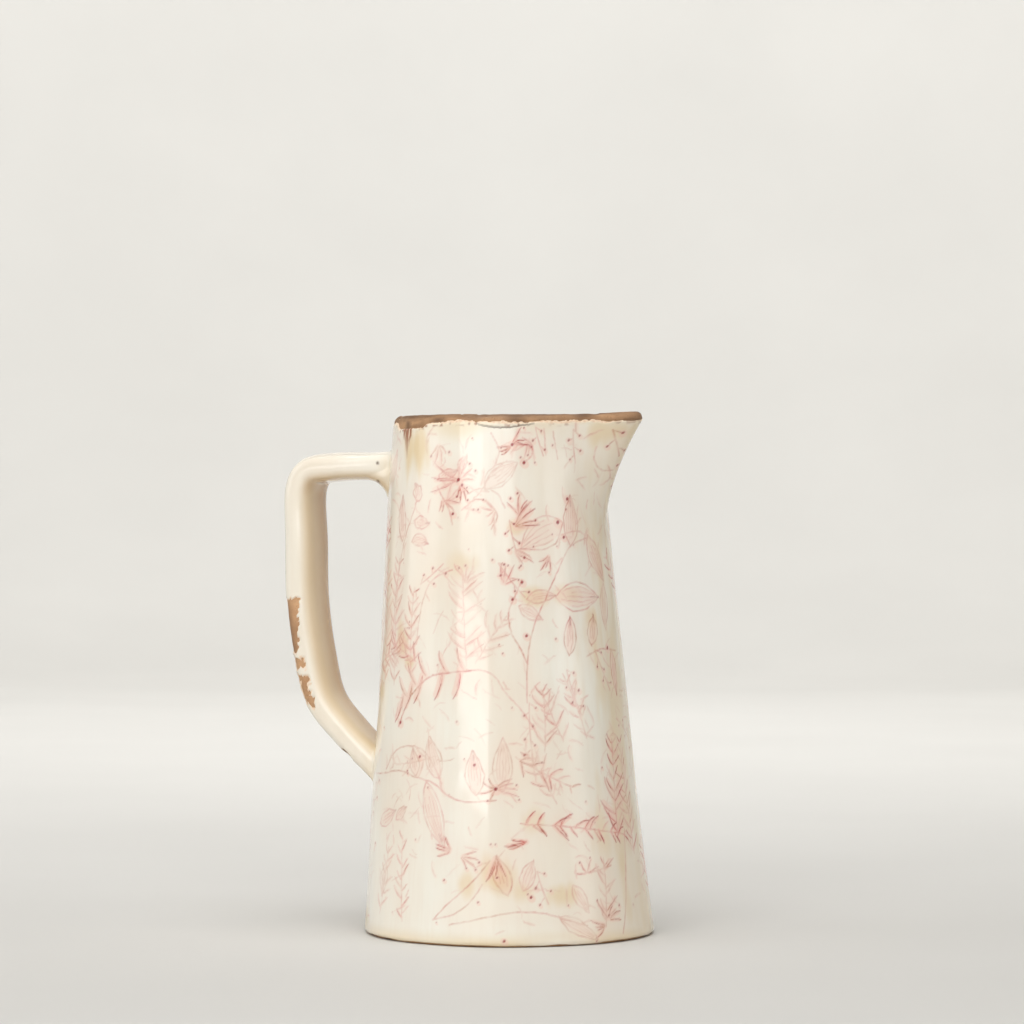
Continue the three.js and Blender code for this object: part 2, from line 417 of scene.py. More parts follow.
class Sheet:
    """The outside glaze, spread out to draw on: a value for each layer at each grid point.
    Places on it are an angle in degrees from the spout and a height in mm."""

    softness = 0.55

    def __init__(self, angles, heights, seed):
        self.angles = np.degrees(angles)
        self.heights = heights
        self.arc = body_radius(heights)
        self.layers = {name: np.zeros(heights.shape) for name in LAYERS}
        self.random = np.random.default_rng(seed)

    def window(self, place, size):
        """The grid points within `size` mm of a place, with their offsets right and up."""
        angle, height = place
        turn = (self.angles - angle + 180) % 360 - 180
        slack_up, slack_round = 4, 2
        rows = np.flatnonzero(np.abs(self.heights[:, 0] - height) < size + slack_up)
        columns = np.flatnonzero(np.abs(turn) < np.degrees((size + slack_round) / MOUTH_RADIUS))
        index = np.ix_(rows, columns)
        return index, np.radians(turn[columns]) * self.arc[index], self.heights[index] - height

    def deepen(self, layer, values, index=...):
        self.layers[layer][index] = np.maximum(self.layers[layer][index], values)

    def brush(self, layer, place, path, width, strength):
        """A soft line along `path`, offsets in mm from the place. The width and the strength
        may change along it."""
        path = np.asarray(path, float)
        count = len(path)
        width = np.broadcast_to(width, count)
        strength = np.broadcast_to(strength, count)
        index, right, up = self.window(place, np.abs(path).max() + width.max())
        if not right.size:
            return
        start, run = path[:-1], np.diff(path, axis=0)
        length = np.maximum((run**2).sum(axis=1), 1e-9)
        dx = right[..., None] - start[:, 0]
        dy = up[..., None] - start[:, 1]
        share = np.clip((dx * run[:, 0] + dy * run[:, 1]) / length, 0, 1)
        far = np.hypot(dx - share * run[:, 0], dy - share * run[:, 1])
        nearest = far.argmin(axis=-1)[..., None]
        far = np.take_along_axis(far, nearest, -1)[..., 0]
        along = (np.take_along_axis(share, nearest, -1) + nearest)[..., 0]
        stations = np.arange(count)
        half = np.interp(along, stations, width) / 2
        value = np.interp(along, stations, strength)
        self.deepen(layer, value * ease((half - far) / self.softness + 0.5), index)

    def dot(self, place, size, strength=0.9):
        self.brush("deep", place, [(0, 0), (0.2, 0.3)], 0.72 * size, strength)
        self.brush("wash", place, [(0, 0), (0.5, -0.6)], 2.2 * size, 0.6 * strength)

    def blot(self, layer, place, width, height, strength):
        """A soft-edged cloud."""
        index, right, up = self.window(place, max(width, height))
        theta = np.radians(self.angles[index[1]])
        wobble = 0.4 * body_noise(theta, self.heights[index], 7, 15, 21)
        wobble += 0.15 * body_noise(theta, self.heights[index], 2.4, 9, 22)
        far = np.hypot(right / width, up / height) * 2
        self.deepen(layer, strength * ease(1.15 - far + wobble), index)

    def wobbled(self, path, amount):
        return np.asarray(path) + self.random.normal(0, amount, (len(path), 2))

    def pencil(self, place, path, width, tone, wobble=0.12):
        """A hand-drawn line, of uneven strength."""
        if wobble:
            path = self.wobbled(path, wobble)
        strength = (0.15 + 0.85 * tone) * self.random.uniform(0.45, 1.15, len(path))
        self.brush("line", place, path, width, strength)

    def bleed(self, source, target, spread, share):
        """Adds a blurred copy of one layer to another. The blur wraps round the body."""
        rows, columns = self.heights.shape
        up = np.fft.fftfreq(2 * rows)[:, None]
        around = np.fft.rfftfreq(columns)[None]
        blur = np.exp(-2 * (pi * spread) ** 2 * (up**2 + around**2))
        doubled = np.vstack([self.layers[source], self.layers[source][::-1]])
        smooth = np.fft.irfft2(np.fft.rfft2(doubled) * blur, doubled.shape)[:rows]
        self.layers[target] = np.clip(self.layers[target] + share * smooth, 0, 1)


def shifted(place, right, up):
    angle, height = place
    return (angle + degrees(right / body_radius(height)), height + up)


def stepped(place, heading, distance):
    turn = radians(heading)
    return shifted(place, distance * cos(turn), distance * sin(turn))


def bent_path(length, heading, bend, steps):
    """Points along a curve that starts at a heading in degrees and turns by `bend`, and the
    heading at each point."""
    turns = heading + bend * np.linspace(0, 1, steps)
    ahead = np.radians(turns[1:])
    step = length / (steps - 1)
    right = np.concatenate([[0], np.cumsum(np.cos(ahead) * step)])
    up = np.concatenate([[0], np.cumsum(np.sin(ahead) * step)])
    return np.stack([right, up], axis=1), turns


def path_lengths(points):
    """How far along a path each of its points is."""
    return np.concatenate([[0], np.cumsum(np.linalg.norm(np.diff(points, axis=0), axis=1))])


def smooth_route(knots, count):
    """The centripetal Catmull-Rom curve through the knots, as evenly spaced points."""
    knots = np.asarray(knots, float)
    ends = np.vstack([2 * knots[0] - knots[1], knots, 2 * knots[-1] - knots[-2]])
    t = np.linspace(0, 1, 40, endpoint=False)[:, None]
    points = []
    for p0, p1, p2, p3 in zip(ends, ends[1:], ends[2:], ends[3:]):
        d0, d1, d2 = (np.linalg.norm(step) ** 0.5 for step in (p1 - p0, p2 - p1, p3 - p2))
        leave = ((p1 - p0) / d0 - (p2 - p0) / (d0 + d1) + (p2 - p1) / d1) * d1
        arrive = ((p2 - p1) / d1 - (p3 - p1) / (d1 + d2) + (p3 - p2) / d2) * d1
        start = (2 * t**3 - 3 * t**2 + 1) * p1 + (t**3 - 2 * t**2 + t) * leave
        points.append(start + (3 * t**2 - 2 * t**3) * p2 + (t**3 - t**2) * arrive)
    points = np.vstack([*points, knots[-1:]])
    lengths = path_lengths(points)
    stations = np.linspace(0, lengths[-1], count)
    return np.stack([np.interp(stations, lengths, points[:, k]) for k in range(2)], axis=1)


def draw_stroke(sheet, place, heading, length, tone, bend=0, width=0.7):
    """One pull of the brush, thin at both ends, with some colour left where it slows."""
    path, _ = bent_path(length, heading, bend, 6)
    swell = np.array([0.5, 0.9, 1.0, 0.9, 0.75, 0.45])
    sheet.pencil(place, path, width * swell, tone)
    if tone > 0.55:
        strength = (tone - 0.4) * sheet.random.uniform(0.3, 1.3, 4)
        sheet.brush("deep", place, path[2:], 0.6 * width, strength)


def draw_stem(sheet, places, tone, width=0.7):
    """A line drawn through a row of places, smoothed."""
    first = places[0]
    knots = [(radians(angle - first[0]) * body_radius(z), z - first[1]) for angle, z in places]
    path = smooth_route(knots, 6 * len(knots))
    sheet.pencil(first, path, width, tone, 0.1)


def draw_leaf(sheet, place, heading, length, width, tone, bend=0):
    """A leaf outline with veins that run along it to the tip, and a pale wash inside it."""
    spine, turns = bent_path(length, heading, bend, 10)
    turns = np.radians(turns)
    sideways = np.stack([-np.sin(turns), np.cos(turns)], axis=1)
    swell = (np.sin(pi * np.linspace(0, 1, 10) ** 0.85) * width / 2)[:, None]
    for side in (-1, 1):
        sheet.pencil(place, spine + side * swell * sideways, 0.65, tone, 0.2)
    sheet.brush("wash", place, spine[1:-1], 1.5 * swell[1:-1, 0], 0.5 * tone)
    for share in (-0.66, -0.33, 0, 0.33, 0.66) if width > 8 else (-0.4, 0, 0.4):
        vein = (spine + share * swell * sideways)[sheet.random.integers(1, 4):9]
        sheet.pencil(place, vein, 0.5, 0.5 * tone, 0.15)
    if tone > 0.45:
        sheet.brush("deep", place, spine[7:], 0.6, tone - 0.3)


def draw_leaflet(sheet, place, heading, length, tone, bend):
    """Two strokes that part and meet again at the tip."""
    draw_stroke(sheet, place, heading + 14, length, tone, bend - 26, 0.62)
    draw_stroke(sheet, place, heading - 9, 0.85 * length, 0.5 * tone, bend + 22, 0.5)
    sheet.brush("wash", place, bent_path(0.8 * length, heading, bend, 4)[0], 0.25 * length, 0.5 * tone)


def draw_fern(sheet, place, heading, length, reach, tone, bend):
    """A stem with leaflets to both sides that curve toward its tip."""
    spine, turns = bent_path(length, heading, bend, 24)
    sheet.pencil(place, spine, 0.6, 0.7 * tone)
    random = sheet.random
    pairs = int(length / 5.2)
    for k in range(pairs):
        share = (k + 0.7) / pairs
        size = reach * (0.45 + 0.7 * sin(pi * (0.2 + 0.75 * share)))
        for side in (-1, 1):
            at = min(int((share + random.uniform(-0.3, 0.3) / pairs) * 23), 23)
            lean = turns[at] + side * random.normal(58, 9)
            strength = tone * random.choice([0.5, 0.9, 1.25, 1.6], p=[0.15, 0.3, 0.3, 0.25])
            long = size * random.uniform(0.65, 1.15)
            draw_leaflet(sheet, shifted(place, *spine[at]), lean, long, strength, -side * 22)


def draw_spray(sheet, place, heading, spread, length, tone, count=4):
    """Leaflets fanned out from one point, some of them with a dot at the end."""
    for k in range(count):
        lean = heading + spread * (k / (count - 1) - 0.5)
        long = length * sheet.random.uniform(0.6, 1.2)
        draw_leaflet(sheet, stepped(place, lean, 1), lean, long, tone, sheet.random.uniform(-30, 30))
        if sheet.random.random() < 0.35:
            end = stepped(place, lean, long + 1.5)
            sheet.dot(end, sheet.random.uniform(0.7, 1.2), 0.3 + 0.6 * tone)


def draw_berries(sheet, place, heading, length, tone):
    """Short stalks to either side of a stem, each ending in a dot."""
    count = int(length / 4)
    spine, turns = bent_path(length, heading, 12, count + 1)
    sheet.pencil(place, spine, 0.6, 0.7 * tone, 0)
    for k in range(count):
        lean = turns[k] + (-1) ** k * sheet.random.uniform(30, 65)
        long = sheet.random.uniform(2.5, 5)
        root = shifted(place, *spine[k])
        draw_stroke(sheet, root, lean, long, 0.8 * tone, 0, 0.55)
        sheet.dot(stepped(root, lean, long), sheet.random.uniform(0.8, 1.4), 0.3 + 0.6 * tone)


# The plants on the side to the left of the spout. Each row starts with a place, in degrees
# from the spout and mm up, and a heading.
FERNS = [  # length, leaflet length, tone, bend
    (-142, 120, 88, 60, 9, 0.42, 8), (-131, 120, 92, 60, 9, 0.45, -6), (-118, 124, 95, 42, 9, 0.5, -12),
    (-88, 130, 94, 44, 12, 0.32, -4), (-84, 131, 60, 27, 9, 0.3, -8), (-151, 128, 30, 24, 9, 0.55, -25),
    (-114, 131, 150, 26, 8, 0.55, 12), (-54, 90, 84, 28, 8, 0.35, 10), (-33, 96, 102, 32, 8, 0.4, 14),
    (-45, 95, 115, 26, 7, 0.4, -6), (-67, 88, 325, 32, 8, 0.55, 14), (-50, 66, 115, 30, 8, 0.35, 8),
    (-66, 57, 357, 62, 8, 0.75, -8), (-19, 47, 88, 48, 11, 0.72, -4), (-6, 40, 96, 55, 10, 0.55, -6),
    (-135, 12, 78, 32, 8, 0.3, 5), (-119, 10, 96, 40, 7, 0.42, -6), (-103, 88, 200, 30, 8, 0.3, -20),
    (-31, 8, 80, 32, 9, 0.42, 12),
]
LEAVES = [  # length, width, tone, bend
    (-149, 213, 62, 20, 7, 0.4, 12), (-118, 207, 70, 9, 6, 0.5, 60), (-103, 218, 20, 10, 5, 0.5),
    (-92, 221, 60, 9, 4, 0.4), (-78, 213, 45, 20, 10, 0.35, -12), (-128, 188, 100, 22, 6, 0.6, -8),
    (-119, 198, 340, 10, 6, 0.5, 25), (-120, 188, 25, 11, 6, 0.55, -55), (-33, 186, 82, 24, 9, 0.6, 6),
    (-37, 197, 200, 26, 15, 0.5, 15), (-20, 191, 290, 24, 9, 0.5, 10), (-44, 162, 2, 28, 14, 0.6, -5),
    (-59, 161, 18, 15, 6, 0.5, -20), (-63, 158, 330, 13, 6, 0.45), (-39, 135, 78, 18, 7, 0.75, 10),
    (-25, 139, 72, 15, 7, 0.65, 8), (-8, 137, 275, 22, 6, 0.7), (-10, 168, 260, 22, 7, 0.4, 10),
    (-108, 76, 282, 33, 10, 0.5, 14), (-114, 78, 100, 13, 6, 0.5), (-101, 77, 118, 21, 9, 0.45, -20),
    (-84, 70, 98, 21, 9, 0.5, -6), (-73, 72, 88, 25, 9, 0.4), (-140, 54, 20, 17, 7, 0.5, 10),
    (-126, 57, 40, 10, 5, 0.5), (-72, 24, 105, 19, 8, 0.55), (-66, 26, 70, 15, 7, 0.45),
    (-52, 14, 330, 23, 7, 0.45), (-45, 28, 300, 15, 6, 0.4), (-132, 36, 260, 16, 7, 0.35),
]
SPRAYS = [  # spread, length, tone
    (-92, 217, 175, 50, 13, 0.6), (-92, 217, 40, 80, 11, 0.5), (-91, 215, 285, 60, 7, 1.0),
    (-63, 234, 20, 60, 7, 1.0), (-63, 233, 200, 50, 6, 0.9), (-101, 208, 300, 90, 8, 0.75),
    (-99, 206, 30, 60, 9, 0.5), (-73, 203, 200, 120, 6, 0.55), (-61, 200, 80, 70, 8, 0.85),
    (-64, 195, 25, 60, 11, 0.9), (-64, 184, 330, 80, 9, 0.65), (-70, 168, 60, 90, 8, 0.7),
    (-46, 182, 245, 40, 8, 0.8), (-53, 236, 250, 60, 8, 0.45), (-104, 234, 280, 90, 8, 0.45),
    (-88, 168, 80, 70, 9, 0.35), (-76, 73, 180, 110, 8, 0.75), (-76, 73, 10, 70, 9, 0.6),
    (-95, 44, 160, 80, 7, 0.8), (-91, 42, 330, 70, 7, 0.6), (-76, 42, 262, 40, 10, 0.85),
    (-38, 33, 100, 160, 6, 0.6), (-29, 11, 60, 130, 9, 0.8), (-31, 9, 200, 60, 8, 0.7),
    (-63, 49, 190, 30, 9, 1.0),
]
BERRIES = [  # length, tone
    (-72, 178, 300, 20, 0.7), (-23, 137, 290, 22, 0.75), (-66, 198, 275, 20, 0.9),
    (-60, 113, 265, 30, 0.45), (-41, 128, 280, 22, 0.55), (-49, 242, 275, 14, 0.6),
    (-28, 241, 268, 16, 0.6), (-11, 241, 290, 14, 0.8), (2, 230, 262, 18, 0.85),
    (-113, 168, 30, 16, 0.6), (-60, 35, 280, 16, 0.6),
]
STEMS = [  # tone, then the places it runs through
    (0.5, (-57, 237), (-52, 234), (-52, 229), (-57, 225)),
    (0.35, (-84, 208), (-79, 213), (-75, 220), (-66, 226)),
    (0.35, (-74, 239), (-70, 231), (-72, 225)), (0.4, (-44, 241), (-44, 229)),
    (0.35, (-39, 240), (-37, 227)), (0.35, (-16, 233), (-16, 227), (-11, 222), (-4, 222)),
    (0.45, (-104, 214), (-101, 209), (-97, 203), (-95, 196)),
    (0.45, (-90, 203), (-82, 208), (-76, 206), (-72, 200), (-75, 194)),
    (0.35, (-88, 210), (-80, 213), (-72, 211), (-68, 204)),
    (0.45, (-118, 208), (-121, 200), (-125, 192), (-129, 178), (-132, 163), (-133, 149)),
    (0.55, (-20, 190), (-33, 186), (-42, 174), (-49, 162), (-56, 149), (-60, 132), (-61, 113)),
    (0.4, (-40, 191), (-27, 193), (-20, 190)),
    (0.65, (-61, 170), (-65, 162), (-68, 155), (-67, 146), (-63, 138), (-60, 131)),
    (0.45, (-115, 140), (-112, 158), (-106, 170), (-95, 175)),
    (0.55, (-29, 134), (-20, 137), (-11, 137), (-3, 136)),
    (0.35, (-88, 128), (-80, 128), (-75, 125), (-70, 117), (-64, 110), (-58, 100)),
    (0.55, (-150, 77), (-138, 78), (-124, 80), (-116, 78), (-104, 75), (-96, 69), (-88, 67), (-76, 68)),
    (0.45, (-136, 80), (-128, 89), (-118, 92), (-110, 90), (-104, 83), (-100, 75)),
    (0.5, (-103, 12), (-98, 18), (-90, 26), (-83, 34), (-79, 40)),
    (0.4, (-103, 12), (-94, 15), (-87, 21), (-82, 29)),
    (0.45, (-96, 10), (-84, 13), (-72, 16), (-60, 16), (-48, 12), (-40, 9)),
    (0.6, (-43, 33), (-34, 34), (-25, 36)), (0.5, (-13, 52), (-15, 36), (-18, 18), (-22, 4)),
]
DOTS = [  # no heading; size
    (-92, 217, 2.0), (-90, 214.5, 1.3), (-63, 233.5, 1.8), (-57, 225, 1.9),
    (-95, 201, 1.6), (-33, 208, 1.8), (-40, 197, 2.2), (-37, 190, 1.6),
    (-61, 169, 1.7), (-66, 161, 1.6), (-60, 144, 1.6), (-12, 137.5, 1.9),
    (-125, 102.5, 1.9), (-76, 73, 2.1), (-85, 84, 1.6), (-112, 87, 1.5),
    (-63, 23, 1.6), (-74, 3, 1.5),
]
CLOUDS = [  # of tan stain; no heading; width, height, strength
    (-121, 232, 22, 30, 0.8), (-10, 240, 40, 16, 0.6), (-62, 195, 12, 8, 0.55),
    (-88, 178, 18, 14, 0.35), (-55, 162, 16, 10, 0.6), (-36, 163, 22, 10, 0.45),
    (-22, 152, 14, 18, 0.6), (-125, 141, 11, 20, 0.75), (-119, 131, 9, 9, 0.7),
    (-76, 33, 18, 24, 0.85), (-90, 29, 12, 15, 0.5), (-65, 26, 13, 16, 0.7),
    (-50, 24, 20, 12, 0.55), (-62, 58, 16, 14, 0.35), (-28, 50, 14, 34, 0.4),
    # The tall last cloud, toward the right edge: painted shade on the side away from the lights, with
    # some stain
    (-8, 110, 46, 210, 0.6),
]


def draw_visible_side(sheet):
    plants = (FERNS, draw_fern), (LEAVES, draw_leaf), (SPRAYS, draw_spray), (BERRIES, draw_berries)
    for rows, draw in plants:
        for angle, height, *rest in rows:
            draw(sheet, (angle, height), *rest)
    for tone, *places in STEMS:
        draw_stem(sheet, places, tone)
    for angle, height, size in DOTS:
        sheet.dot((angle, height), size)
    for angle, height, *rest in CLOUDS:
        sheet.blot("stain_and_shade", (angle, height), *rest)
    draw_crossing_fern(sheet)


def draw_crossing_fern(sheet):
    """The darkest plant: a stem that crosses the tall ferns and hangs down at its tip."""
    places = [(-86, 128), (-95, 127), (-106, 125), (-112, 121), (-118, 115), (-123, 107), (-126, 101)]
    draw_stem(sheet, places, 0.7, 0.8)
    for k, (angle, height) in enumerate(places[:5]):
        draw_leaflet(sheet, (angle - 3, height), 122 + 3 * k, 11, 0.8, -18)
        draw_leaflet(sheet, (angle - 5, height), 262 - 3 * k, 14, 1.0, -10)


def near_handle_root(angle, height):
    return abs(angle) > 164 and (60 < height < 102 or 210 < height < 241)


def draw_unseen_side(sheet):
    """The same kinds of plants, scattered evenly round the rest of the pitcher."""
    random = sheet.random
    for angle in np.arange(12, 208, 11.5):
        for height in np.arange(14, 236, 18):
            spot = (angle + random.uniform(-4, 4), height + random.uniform(-7, 7))
            if near_handle_root(*spot):
                continue
            tone = random.choice([0.35, 0.45, 0.6, 0.8, 1.0], p=[0.3, 0.3, 0.2, 0.12, 0.08])
            heading = random.normal(90, 35)
            long = random.uniform(16, 34)
            kind = random.choice(5, p=[0.36, 0.26, 0.16, 0.12, 0.1])
            if kind == 0:
                draw_fern(sheet, spot, heading, long, random.uniform(7, 10), tone, random.normal(0, 20))
            elif kind == 1:
                draw_leaf(sheet, spot, heading, 0.8 * long, 0.35 * long, tone, random.normal(0, 20))
            elif kind == 2:
                draw_spray(sheet, spot, heading, random.uniform(60, 150), 9, tone, 5)
                sheet.dot(spot, 1.7)
            elif kind == 3:
                draw_berries(sheet, spot, heading, long, tone)
            else:
                tip = shifted(spot, random.uniform(-9, 9), 28)
                draw_stem(sheet, [spot, shifted(spot, 5, 12), tip], tone)
            if random.random() < 0.15:
                sheet.blot("stain_and_shade", spot, random.uniform(10, 24), random.uniform(10, 26), 0.6)


def draw_faint_growth(sheet):
    """Pale strokes, leaflets and dots between the plants, all the way round."""
    random = sheet.random
    for _ in range(1500):
        spot = (random.uniform(-180, 180), random.uniform(6, 240))
        thick = body_noise(radians(spot[0]), spot[1], 34, 30, 23)
        if near_handle_root(*spot) or thick < random.uniform(-0.9, 0.3):
            continue
        tone = random.uniform(0.05, 0.45) ** 1.3
        heading = random.normal(80, 55)
        kind = random.random()
        if kind < 0.2:
            draw_stroke(sheet, spot, heading, random.uniform(4, 12), tone, random.normal(0, 50), 0.6)
        elif kind < 0.9:
            draw_leaflet(sheet, spot, heading, random.uniform(4, 9), tone, random.normal(0, 30))
        else:
            sheet.dot(spot, random.uniform(0.5, 1.0), random.uniform(0.2, 0.8))


def draw_washes_dirt_and_crack_shadow(sheet):
    """Tan washes below the rim and by the foot, painted shade down the side right of the spout, the
    rust run, and a dark line along a crack: painted shadow under the lifted glaze edge, with dirt in
    it.
    """
    theta, z = np.radians(sheet.angles)[None, :], sheet.heights
    below_rim = rim_height(theta) - z
    cloud = 0.5 + 0.5 * body_noise(theta, z, 26, 14, 31)
    sheet.deepen("stain_and_shade", 0.75 * ease((15 * cloud - below_rim + 4) / 12) * (0.4 + 0.6 * cloud))
    patches = 0.5 + 0.5 * body_noise(theta, z, 30, 9, 38)
    sheet.deepen("stain_and_shade", 0.85 * ease(1 - z / 9) * patches)
    # A tan band down the side right of the spout, away from the lights: painted shade with some stain,
    # broken into streaks
    streaks = 0.6 + 0.4 * body_noise(theta, z, 4, 70, 39)
    sheet.deepen("stain_and_shade", 0.85 * bump_at(theta, 9, 30) * streaks)
    for right, drop, width in ((-3.2, 5, 1.8), (-1.4, 9, 1.6), (0.2, 13, 1.9), (2.3, 7, 1.6)):
        run = [(right, 3), (right + 0.2, -0.3 * drop), (0.8 * right, -0.6 * drop), (0.6 * right, -drop)]
        run = sheet.wobbled(run, 0.25)
        widths = [width, 0.9 * width, width, 0.9]
        sheet.brush("rust", (RIM_CHIP, 240.5), run, widths, [0.95, 0.8, 0.5, 0.15])
    # The crack's dark line is painted shadow under the lifted glaze edge, with dirt in it; it also
    # sinks a shallow groove.
    crack = [(-82, 243.6), (-77, 242.2), (-70, 241.6), (-63, 241.9), (-56, 242.9), (-50, 243.6)]
    arc = radians(body_radius(240))
    start, level = crack[0]
    path = smooth_route([((angle - start) * arc, height - level) for angle, height in crack], 40)
    strength = 0.95 * np.sin(np.linspace(0.35, pi - 0.35, 40)) ** 0.5
    sheet.brush("dirt_and_shade", crack[0], sheet.wobbled(path, 0.1), 0.6, strength)


# ---- Body pieces ----

def bump_at(theta, angle, half_width):
    """1 at an angle in degrees, falling smoothly to 0 at its half width."""
    turn = np.abs((np.degrees(theta) - angle + 180) % 360 - 180)
    return ease(1 - turn / half_width)


def above_glaze_edge(theta, z):
    """Height in mm over the ragged line where the outside glaze stops under the rim."""
    ragged = 0.35 * body_noise(theta, z, 9, 6, 41) + 0.3 * body_noise(theta, z, 2.6, 2.4, 42)
    ragged += 0.2 * body_noise(theta, z, 1.2, 1.2, 43)
    chip = 2.6 * ease(2.6 * bump_at(theta, RIM_CHIP, 20)) + 0.6 * bump_at(theta, -66, 18)
    chip += 1.8 * bump_at(theta, 96, 12) + 2.6 * bump_at(theta, 158, 8) + 1.0 * bump_at(theta, -14, 7)
    return z - (rim_height(theta) - BARE_RIM) + chip + ragged


def above_slip_edge(theta, z):
    """Height in mm over the higher ragged line where the slip under the glaze stops."""
    strip = 0.5 + 0.8 * body_noise(theta, z * 0, 14, 5, 44) + 0.4 * body_noise(theta, z, 2.2, 2, 45)
    strip += 0.8 * bump_at(theta, -98, 16) - 3 * bump_at(theta, RIM_CHIP, 15)
    return above_glaze_edge(theta, z) - np.clip(strip, 0, None)


def foot_inset(z):
    fall = np.clip(FOOT_ROUNDING - z, 0, FOOT_ROUNDING)
    return FOOT_ROUNDING - np.sqrt(FOOT_ROUNDING**2 - fall**2)


def lip_inset(theta, z):
    """How far the rim rounds inward at a height."""
    share = np.clip((z - rim_height(theta)) / LIP_HEIGHT + 1, 0, 1)
    return LIP_DEPTH * (1 - np.sqrt(1 - share**2))


def shares(count):
    """Even shares from 0 to 1, without the 0."""
    return np.linspace(0, 1, count + 1)[1:]


def quarter_turn(count):
    """Even angles from 0 to a right angle, without the 0."""
    return pi / 2 * np.arange(1, count + 1) / count


def row_grids(theta, rows):
    """An outline's rows as grids over the columns: the angles, the heights and the insets."""
    z, inset = (np.array([np.broadcast_to(row, theta.shape) for row in part]) for part in zip(*rows))
    return np.broadcast_to(theta, z.shape), z, inset


def make_body_glaze(material):
    theta = column_angles(SKIN_COLUMNS)
    rise = np.linspace(0, 1, SKIN_ROWS)[:, None]
    bottom = GLAZE_FOOT + 0.35 * body_noise(theta, 0, 9, 5, 61)
    z = bottom + rise * (rim_height(theta) - SKIN_BELOW_RIM - bottom)
    angles = np.broadcast_to(theta, z.shape)
    sheet = Sheet(theta, z, 5)
    draw_faint_growth(sheet)
    draw_visible_side(sheet)
    draw_unseen_side(sheet)
    sheet.bleed("line", "wash", 7, 1.5)
    draw_washes_dirt_and_crack_shadow(sheet)
    glaze_edge = above_glaze_edge(angles, z)
    slip_edge = above_slip_edge(angles, z)
    crumble = 0.07 * body_noise(angles, z, 1.3, 1.0, 62)
    broken = ease(glaze_edge / 0.45)
    depth = broken * (SLIP_DEPTH + crumble)
    depth += (CHIP_DEPTH - SLIP_DEPTH) * ease(slip_edge / 0.5)
    depth += 0.3 * sheet.layers["dirt_and_shade"] - 0.06 * ease(1 + glaze_edge / 1.2) * (1 - broken)
    sheet.layers["slip"] = broken
    specks = ease(2.2 * body_noise(angles, z, 2.2, 1.2, 63) - 0.2)
    specks *= 0.75 * ease(1 - np.abs(glaze_edge + 0.4) / 1.4)
    sheet.deepen("rust", specks * ease(0.6 + body_noise(angles, z, 16, 9, 64)))
    inset = foot_inset(z) + lip_inset(angles, z) + depth
    inset -= 0.03 * body_noise(angles, z, 5, 9, 53)
    tucked = body_point(theta, z[0] + 0.05, inset[0] + CLAY_DEPTH)
    rings = np.concatenate([tucked[None], body_point(angles, z, inset)])
    layers = {name: np.vstack([values[:1], values]) for name, values in sheet.layers.items()}
    piece = grid_piece("body_glaze_skin", rings, material, layers)
    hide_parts("body_glaze")
    return piece


def make_clay_wall(material):
    """The clay under the glaze, bare at the rim and round the foot, as one closed wall."""
    theta = column_angles(WALL_COLUMNS)
    rim = rim_height(theta)
    band = rim - RIM_BAND
    foot = FOOT_ROUNDING
    inner_lip = RIM_WALL - LIP_DEPTH
    crest = CLAY_DEPTH + LIP_DEPTH
    rows = [(0, CLAY_DEPTH + foot)]
    rows += [(foot * (1 - cos(a)), CLAY_DEPTH + foot * (1 - sin(a))) for a in quarter_turn(5)]
    rows += [(foot + share * (band - foot), CLAY_DEPTH) for share in shares(49)]
    rows += [(band + share * (RIM_BAND - LIP_HEIGHT), CLAY_DEPTH) for share in shares(19)]
    rows += [(rim - LIP_HEIGHT * (1 - sin(a)), crest - LIP_DEPTH * cos(a)) for a in quarter_turn(13)]
    rows += [(rim - inner_lip * (1 - cos(a)), crest + inner_lip * sin(a)) for a in quarter_turn(9)]
    for share in np.linspace(1, 0, 60):
        z = share * (rim - inner_lip)
        rows.append((z, CLAY_DEPTH + wall_thickness(z)))
    angles, z, inset = row_grids(theta, rows)
    near_rim = ease((z - rim + 14) / 6)
    along = 2 * inset + z
    worn = 0.16 * body_noise(angles, along, 9, 5, 71) + 0.07 * body_noise(angles, along, 2.5, 2, 72)
    nicks = 0.5 * ease((body_noise(angles, z + inset, 6, 4, 73) - 0.62) / 0.3)
    rings = body_point(angles, z, inset)
    outward = rings - body_point(theta, rim - LIP_HEIGHT, np.full(theta.shape, crest))
    outward /= np.maximum(np.linalg.norm(outward, axis=-1, keepdims=True), 1e-6)
    rings = rings + outward * (near_rim * (worn - nicks))[..., None]
    on_top = ease(1 - np.abs(z - rim) / 2.5)
    smoke_and_shade = near_rim * (0.36 + 0.2 * on_top + 0.3 * body_noise(angles, z + inset, 9, 3, 74))
    below = ease((rim - 1 - z) / 3)
    smoke_and_shade *= 1 - 0.7 * bump_at(angles, RIM_CHIP, 22) * below
    smoke_and_shade = np.maximum(smoke_and_shade, 0.75 * bump_at(angles, RIM_CHIP - 1, 6) * below)
    tip = bump_at(angles, 0, 15) * near_rim
    layers = {"smoke_and_shade": np.clip(np.maximum(smoke_and_shade, 0.65 * tip), 0, 1)}
    piece = grid_piece("clay_wall", rings, material, layers, loops=True)
    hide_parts("body_wall")
    return piece


